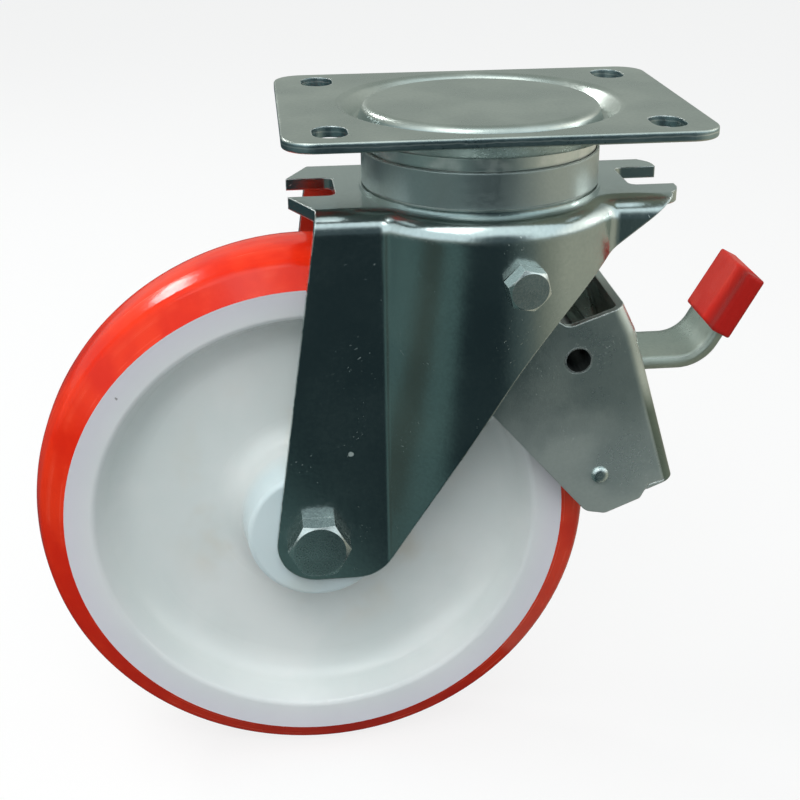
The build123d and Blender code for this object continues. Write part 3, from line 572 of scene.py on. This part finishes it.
def plated_sheet(
    name,
    deep,
    pale,
    smoothness,
    scratches=0.5,
    knocks=0.06,
    clouds=0.03,
    soft_edge=EDGE_ROUNDING,
    bloom=None,
    shaded_folds=None,
    sheared=None,
    plain_within=None,
):
    """Zinc plating between two tints and two roughnesses, with the marks that a piece asks for."""
    material, tree, shader, place = new_material(name)
    plating = use(tree, cloudy_plating, Place=place, Cloud_Size=clouds)
    tint = blend_colours(tree, plating["Cloud"], deep, pale)
    tint = blend_colours(tree, product(tree, plating["Grain"], SPECK_SHARE), tint, SPECK, how="MULTIPLY")

    first, second = (
        use(tree, hair_scratches, Place=place, Turn=turn, Amount=scratches)["Scratch"] for turn in SCRATCH_TURNS
    )
    lines = product(tree, maths(tree, "MAXIMUM", first, second), SCRATCH_STRENGTH)
    dents = use(tree, nicks, Place=place, Share=knocks)["Nick"]
    edges = use(tree, bright_edges, Place=place, Breaks=0.4)["Edge"]
    if plain_within:
        beyond = beyond_land(tree, place, plain_within)
        edges, soft_edge = product(tree, edges, beyond), product(tree, beyond, soft_edge)
    worn = maths(tree, "MAXIMUM", lines, dents)
    bright = maths(tree, "MAXIMUM", worn, edges)
    if sheared:
        steep, torn = sheared_face(tree, place, sheared)
        tint = blend_colours(tree, steep, tint, SHEARED)
        bright = maths(tree, "MAXIMUM", bright, torn)
    tint = blend_colours(tree, bright, tint, BARE_BRIGHT)
    # painted shade in the folds that turn towards +X
    if shaded_folds:
        tint = blend_colours(tree, fold_shade_share(tree, place, shaded_folds), tint, FOLD_PAINTED_SHADE, how="MULTIPLY")
    tree.links.new(tint, shader.inputs["Base Color"])

    skin = ramp(tree, plating["Cloud"], 0.0, 1.0, *smoothness)
    skin = maths(tree, "ADD", skin, product(tree, plating["Grain"], 0.06))
    skin = maths(tree, "MAXIMUM", skin, product(tree, bright, MARK_ROUGHNESS))
    tree.links.new(skin, shader.inputs["Roughness"])

    depth = maths(tree, "SUBTRACT", product(tree, plating["Grain"], 0.10), worn)
    rolled = add(tree, "Bevel", {"Radius": soft_edge}, samples=4).outputs[0]
    bump = add(tree, "Bump", {"Height": depth, "Strength": 0.35, "Distance": 0.0002, "Normal": rolled})
    tree.links.new(bump.outputs["Normal"], shader.inputs["Normal"])

    shader.inputs["Metallic"].default_value = 1.0
    if bloom:
        milky = bloom_share(tree, place, plating["Cloud"], bloom)
        tree.links.new(ramp(tree, milky, 0.0, 1.0, *MILKY_METAL), shader.inputs["Metallic"])
    return material


print("plated sheet ready")

# %% [markdown]
# The fork is the smoothest piece, like a dark mirror. The plate and the pedal are more matt, the housing is
# the most scratched, and the pedal's edges are rounded so far that its strap looks rolled.

# %% Finish: plate, fork, housing and pedal
fork_finish = plated_sheet(
    "plated fork sheet",
    (0.46, 0.53, 0.53, 1), (0.52, 0.59, 0.58, 1), (0.14, 0.17),
    plain_within=(0.0415, 0.0425),
)
plate_finish = plated_sheet(
    "plated plate sheet",
    (0.46, 0.51, 0.48, 1), (0.57, 0.61, 0.57, 1), (0.26, 0.34),
    scratches=0.3, sheared=-0.0010,
)
# The housing's lower folds that face +X get painted shade.
housing_finish = plated_sheet(
    "plated housing sheet",
    (0.52, 0.58, 0.56, 1), (0.62, 0.67, 0.63, 1), (0.26, 0.34),
    scratches=0.8, knocks=0.2, bloom=(-0.085, -0.125), shaded_folds=(-0.090, -0.103),
)
pedal_finish = plated_sheet(
    "plated pedal sheet",
    (0.43, 0.50, 0.46, 1), (0.55, 0.61, 0.55, 1), (0.26, 0.36),
    scratches=0.4, soft_edge=0.0050,
)
dress(fork_finish, "fork")
dress(plate_finish, "top_plate")
dress(housing_finish, "brake_housing", "brake_shoe")
dress(pedal_finish, "pedal")
print("sheet dressed")

# %% [markdown]
# ## Turned rings
# The races are turned on a lathe and the dust ring is drawn thin. All are plated like the sheet, so they
# take the same finish. The ring is clean and a little matt, and the races are paler and much knocked.

# %% Finish: rings
ring_finish = plated_sheet(
    "plated dust ring",
    (0.48, 0.54, 0.54, 1), (0.54, 0.60, 0.59, 1), (0.34, 0.38),
    scratches=0.0, knocks=0.01, clouds=0.05,
)
race_finish = plated_sheet(
    "turned race",
    (0.72, 0.78, 0.75, 1), (0.92, 0.94, 0.90, 1), (0.30, 0.44),
    scratches=0.8, knocks=0.6, clouds=0.008, soft_edge=0.0010,
)
dress(ring_finish, "dust_ring")
dress(race_finish, "upper_race", "crown_race", "lower_race")
print("rings dressed")

# %% [markdown]
# ## Bolts, nuts and pins
# Fasteners are forged or turned, brighter than the sheet, with a finer grain and more knocks for their
# size. A rivet's head is rounded by a wide Bevel node.

# %% Fastener steel
PALER = 1.18  # how much lighter than its tint the steel gets
POLISH_RANGE = 0.12  # how much rougher than its polish the steel gets


def fastener_steel(name, tint=(0.54, 0.59, 0.58, 1), roughness=0.18, dome=0.0):
    """Bright plated steel, domed if asked: the material, its tree, its shader, the place and its bump."""
    material, tree, shader, place = new_material(name)
    plating = use(tree, cloudy_plating, Place=place, Cloud_Size=0.008, Grain_Size=0.0008)
    paler = tuple(min(1, PALER * part) for part in tint[:3]) + (1,)
    shade = blend_colours(tree, plating["Cloud"], tint, paler)
    dents = use(tree, nicks, Place=place, Spacing=0.006, Share=0.3)["Nick"]
    edges = use(tree, bright_edges, Place=place, Breaks=0.2)["Edge"]
    bright = maths(tree, "MAXIMUM", dents, edges)
    tree.links.new(blend_colours(tree, bright, shade, BARE_BRIGHT), shader.inputs["Base Color"])
    rough = ramp(tree, plating["Grain"], 0.0, 1.0, roughness, roughness + POLISH_RANGE)
    tree.links.new(maths(tree, "MAXIMUM", rough, product(tree, bright, 0.5)), shader.inputs["Roughness"])
    bump = add(tree, "Bump", {"Height": plating["Grain"], "Strength": 0.08, "Distance": 0.0001})
    if dome:
        tree.links.new(add(tree, "Bevel", {"Radius": dome}, samples=6).outputs[0], bump.inputs["Normal"])
    tree.links.new(bump.outputs["Normal"], shader.inputs["Normal"])
    shader.inputs["Metallic"].default_value = 1.0
    return material, tree, shader, place, bump


print("fastener steel ready")

# %% [markdown]
# The axle bolt and the king pin get their thread from the helix group, only along the stretch that is
# cut. A real helix in the mesh would take thousands of faces for a few millimetres that show.

# %% Thread
AXLE_X, AXLE_Z = -0.060, -0.145
THREAD_RUN_IN = 0.0005
THREAD_DEPTH = 0.0012


def cut_thread(fastener, along, way, centre, span, pitch):
    """Add a thread to a fastener's bump, along an axis one way, round a centre, between two distances."""
    material, tree, shader, place, bump = fastener
    parts = add(tree, "SeparateXYZ", {0: place}).outputs
    first, second = (maths(tree, "SUBTRACT", parts[axis], middle) for axis, middle in centre.items())
    run = maths(tree, "MULTIPLY", parts[along], way)
    turn = maths(tree, "ARCTAN2", first, second)
    ridge = use(tree, screw_thread, Along=run, Round=turn, Pitch=pitch)["Ridge"]
    start, end = span
    begun = ramp(tree, run, start, start + THREAD_RUN_IN)
    unfinished = ramp(tree, run, end, end + THREAD_RUN_IN, 1.0, 0.0)
    height = product(tree, ridge, product(tree, begun, unfinished))
    thread = add(tree, "Bump", {"Height": height, "Distance": THREAD_DEPTH, "Normal": bump.outputs["Normal"]})
    tree.links.new(thread.outputs["Normal"], shader.inputs["Normal"])
    return material


axle_steel = cut_thread(
    fastener_steel("axle bolt steel"), "Y", 1.0, {"X": AXLE_X, "Z": AXLE_Z}, span=(0.034, 0.1), pitch=0.00175
)
king_pin_steel = cut_thread(
    fastener_steel("king pin steel"), "Z", -1.0, {"X": 0.0, "Y": 0.0}, span=(0.042, 0.1), pitch=0.002
)
dress(axle_steel, "axle_bolt")
dress(king_pin_steel, "king_pin")
print("threads cut")

# %% [markdown]
# The other fasteners share one steel. The sleeves are plain drawn tube, darker and more matt.

# %% Finish: fasteners and sleeves
plain_steel = fastener_steel("fastener steel")[0]
rivet_steel = fastener_steel("rivet steel", (0.66, 0.74, 0.74, 1), dome=0.0022)[0]
sleeve_steel = fastener_steel("sleeve steel", (0.26, 0.28, 0.28, 1), roughness=0.34)[0]
dress(plain_steel, "axle_nut", "king_pin_nut", "king_pin_washer", "brake_bolts", "brake_nuts")
dress(rivet_steel, "shoe_rivets")
dress(sleeve_steel, "pedal_sleeve", "axle_sleeve")
print("fasteners dressed")

# %% [markdown]
# Balls and rollers are ground and polished, with the faint tint of hardened steel. Their cage is moulded
# in a dark matt plastic with a fine spark-eroded grain.

# %% Finish: bearing pieces
material, tree, shader, place = new_material("hardened bearing steel")
plating = use(tree, cloudy_plating, Place=place, Cloud_Size=0.004, Grain_Size=0.0005)
polish = blend_colours(tree, plating["Cloud"], (0.60, 0.61, 0.63, 1), (0.70, 0.70, 0.71, 1))
tree.links.new(polish, shader.inputs["Base Color"])
tree.links.new(ramp(tree, plating["Grain"], 0.0, 1.0, 0.08, 0.16), shader.inputs["Roughness"])
shader.inputs["Metallic"].default_value = 1.0
dress(material, "upper_balls", "lower_balls", "hub_rollers")

material, tree, shader, place = new_material("cage plastic")
moulded = use(tree, cloudy_plating, Place=place, Cloud_Size=0.01, Grain_Size=0.0004)
black = blend_colours(tree, moulded["Cloud"], (0.030, 0.031, 0.034, 1), (0.045, 0.046, 0.050, 1))
tree.links.new(black, shader.inputs["Base Color"])
tree.links.new(ramp(tree, moulded["Grain"], 0.0, 1.0, 0.48, 0.60), shader.inputs["Roughness"])
bump = add(tree, "Bump", {"Height": moulded["Grain"], "Strength": 0.3, "Distance": 0.0001})
tree.links.new(bump.outputs["Normal"], shader.inputs["Normal"])
dress(material, "roller_cage")
print("bearing pieces dressed")

# %% [markdown]
# ## Wheel centre
# The centre is cast nylon, white with a cool cast. Near the rim a lilac glow of the tread's red is painted
# on as painted light, round the hub it has taken a little grease, and the dish carries a few dark specks.
# All but the specks depend on how far a point lies from the axle, so that distance is worked out once.

# %% Finish: cast nylon
NYLON = (0.79, 0.83, 0.82, 1), (0.87, 0.89, 0.88, 1)
# painted light: a lilac glow of the tread's red on the nylon near the rim
PAINTED_RED_GLOW, RED_GLOW_SHARE, RED_GLOW_RADII = (0.78, 0.74, 0.82, 1), 0.75, (0.074, 0.0885)
GREASE, GREASE_SHARE, GREASE_RADII = (0.74, 0.66, 0.54, 1), 0.7, (0.062, 0.028)
BOSS, BOSS_SHARE, BOSS_RADII = (0.62, 0.80, 0.86, 1), 0.5, (0.0275, 0.0255)
GRIT, GRIT_SHARE = (0.16, 0.14, 0.13, 1), 0.7


def from_axle(tree, place):
    """How far a point lies from the wheel's axis."""
    offset = add(tree, "VectorMath", {0: place, 1: (AXLE_X, 0, AXLE_Z)}, operation="SUBTRACT").outputs[0]
    flat = add(tree, "VectorMath", {0: offset, 1: (1, 0, 1)}, operation="MULTIPLY").outputs[0]
    return add(tree, "VectorMath", {0: flat}, operation="LENGTH").outputs["Value"]


material, tree, shader, place = new_material("cast nylon")
radius = from_axle(tree, place)
mottling = use(tree, cloudy_plating, Place=place, Cloud_Size=0.05, Grain_Size=0.0010)
smears = add(tree, "TexNoise", {"Vector": place, "Scale": 32.0, "Detail": 3.0}).outputs["Fac"]
greasy = product(tree, ramp(tree, radius, *GREASE_RADII), ramp(tree, smears, 0.46, 0.66))
grit = use(tree, nicks, Place=place, Spacing=0.014, Size=0.06, Share=0.22)["Nick"]
white = blend_colours(tree, mottling["Cloud"], *NYLON)
# The first entry paints a glow of the tread's red near the rim: painted light.
for presence, share, tone in (
    (ramp(tree, radius, *RED_GLOW_RADII), RED_GLOW_SHARE, PAINTED_RED_GLOW),
    (greasy, GREASE_SHARE, GREASE),
    (ramp(tree, radius, *BOSS_RADII), BOSS_SHARE, BOSS),
    (grit, GRIT_SHARE, GRIT),
):
    white = blend_colours(tree, product(tree, presence, share), white, tone)
tree.links.new(white, shader.inputs["Base Color"])
tree.links.new(ramp(tree, mottling["Grain"], 0.0, 1.0, 0.18, 0.26), shader.inputs["Roughness"])
ripple = add(tree, "TexNoise", {"Vector": place, "Scale": 55.0, "Detail": 1.0}).outputs["Fac"]
bump = add(tree, "Bump", {"Height": ripple, "Strength": 0.12, "Distance": 0.001})
tree.links.new(bump.outputs["Normal"], shader.inputs["Normal"])
shader.inputs["Subsurface Weight"].default_value = 0.12
shader.inputs["Subsurface Radius"].default_value = (0.006, 0.005, 0.005)
dress(material, "wheel_centre")
print("wheel centre dressed")

# %% [markdown]
# ## Tread
# The tread is an elastic plastic cast round the centre: deep red, glossy, and a little cloudy. Rolling
# has left faint streaks round it, which noise gives once it is stretched along the rolling direction, so
# it reads the distance from the axle and the place across the tread, and nothing of the angle.

# %% Finish: elastic tread
TREAD_RED = (0.76, 0.022, 0.006, 1), (0.88, 0.040, 0.010, 1)
SCUFF, SCUFF_SHARE = (0.98, 0.13, 0.07, 1), 0.25

material, tree, shader, place = new_material("elastic tread")
track = add(tree, "CombineXYZ", {0: from_axle(tree, place), 1: axis_part(tree, place, "Y"), 2: 0.0}).outputs[0]
streaks = add(tree, "TexNoise", {"Vector": track, "Scale": 420.0, "Detail": 2.0}).outputs["Fac"]
cloud = use(tree, cloudy_plating, Place=place, Cloud_Size=0.02, Grain_Size=0.0014)
red = blend_colours(tree, cloud["Cloud"], *TREAD_RED)
scuffed = product(tree, ramp(tree, streaks, 0.50, 0.72), ramp(tree, cloud["Cloud"], 0.2, 0.9))
red = blend_colours(tree, product(tree, scuffed, SCUFF_SHARE), red, SCUFF)
tree.links.new(red, shader.inputs["Base Color"])
tree.links.new(ramp(tree, scuffed, 0.0, 1.0, 0.17, 0.36), shader.inputs["Roughness"])
height = maths(tree, "ADD", streaks, product(tree, cloud["Grain"], 0.4))
bump = add(tree, "Bump", {"Height": height, "Strength": 0.10, "Distance": 0.0004})
tree.links.new(bump.outputs["Normal"], shader.inputs["Normal"])
shader.inputs["Specular IOR Level"].default_value = 0.16
shader.inputs["Coat Weight"].default_value = 0.09
shader.inputs["Coat Roughness"].default_value = 0.06
dress(material, "tread")
print("tread dressed")

# %% [markdown]
# ## Pedal cap
# The cap is moulded in a softer red plastic and pushed on the pedal's end. It is half gloss. Its near
# third falls away to the side, and that slope is painted darker as painted shade. Here the slope is a bump,
# and the Bevel node softens the moulded corners.

# %% Finish: cap plastic
CAP_RED = (0.95, 0.030, 0.018, 1), (1.0, 0.055, 0.034, 1)
# painted shade: the deep red laid on the cap's near slope
CAP_PAINTED_SHADE = (0.52, 0.014, 0.010, 1)
CAP_RUBBED, RUBBED_SHARE = (0.92, 0.20, 0.16, 1), 0.25
CAP_RIDGE, CAP_EDGE = -0.002, -0.012  # along Y: where the flat top ends and where the slope ends
CAP_ROUNDING = 0.0022

material, tree, shader, place = new_material("cap plastic")
cloud = use(tree, cloudy_plating, Place=place, Cloud_Size=0.012, Grain_Size=0.0006)
slope = ramp(tree, axis_part(tree, place, "Y"), CAP_EDGE, CAP_RIDGE)
# The near slope is painted darker: painted shade.
red = blend_colours(tree, slope, CAP_PAINTED_SHADE, blend_colours(tree, cloud["Cloud"], *CAP_RED))
edges = use(tree, bright_edges, Place=place, Breaks=0.3)["Edge"]
red = blend_colours(tree, product(tree, edges, RUBBED_SHARE), red, CAP_RUBBED)
tree.links.new(red, shader.inputs["Base Color"])
tree.links.new(ramp(tree, cloud["Grain"], 0.0, 1.0, 0.30, 0.44), shader.inputs["Roughness"])
softened = add(tree, "Bevel", {"Radius": CAP_ROUNDING}, samples=4).outputs[0]
fallen = add(tree, "Bump", {"Height": slope, "Distance": 0.003, "Normal": softened}).outputs[0]
bump = add(tree, "Bump", {"Height": cloud["Grain"], "Strength": 0.2, "Distance": 0.0002, "Normal": fallen})
tree.links.new(bump.outputs["Normal"], shader.inputs["Normal"])
shader.inputs["Specular IOR Level"].default_value = 0.22
dress(material, "pedal_cap")
print("cap dressed")
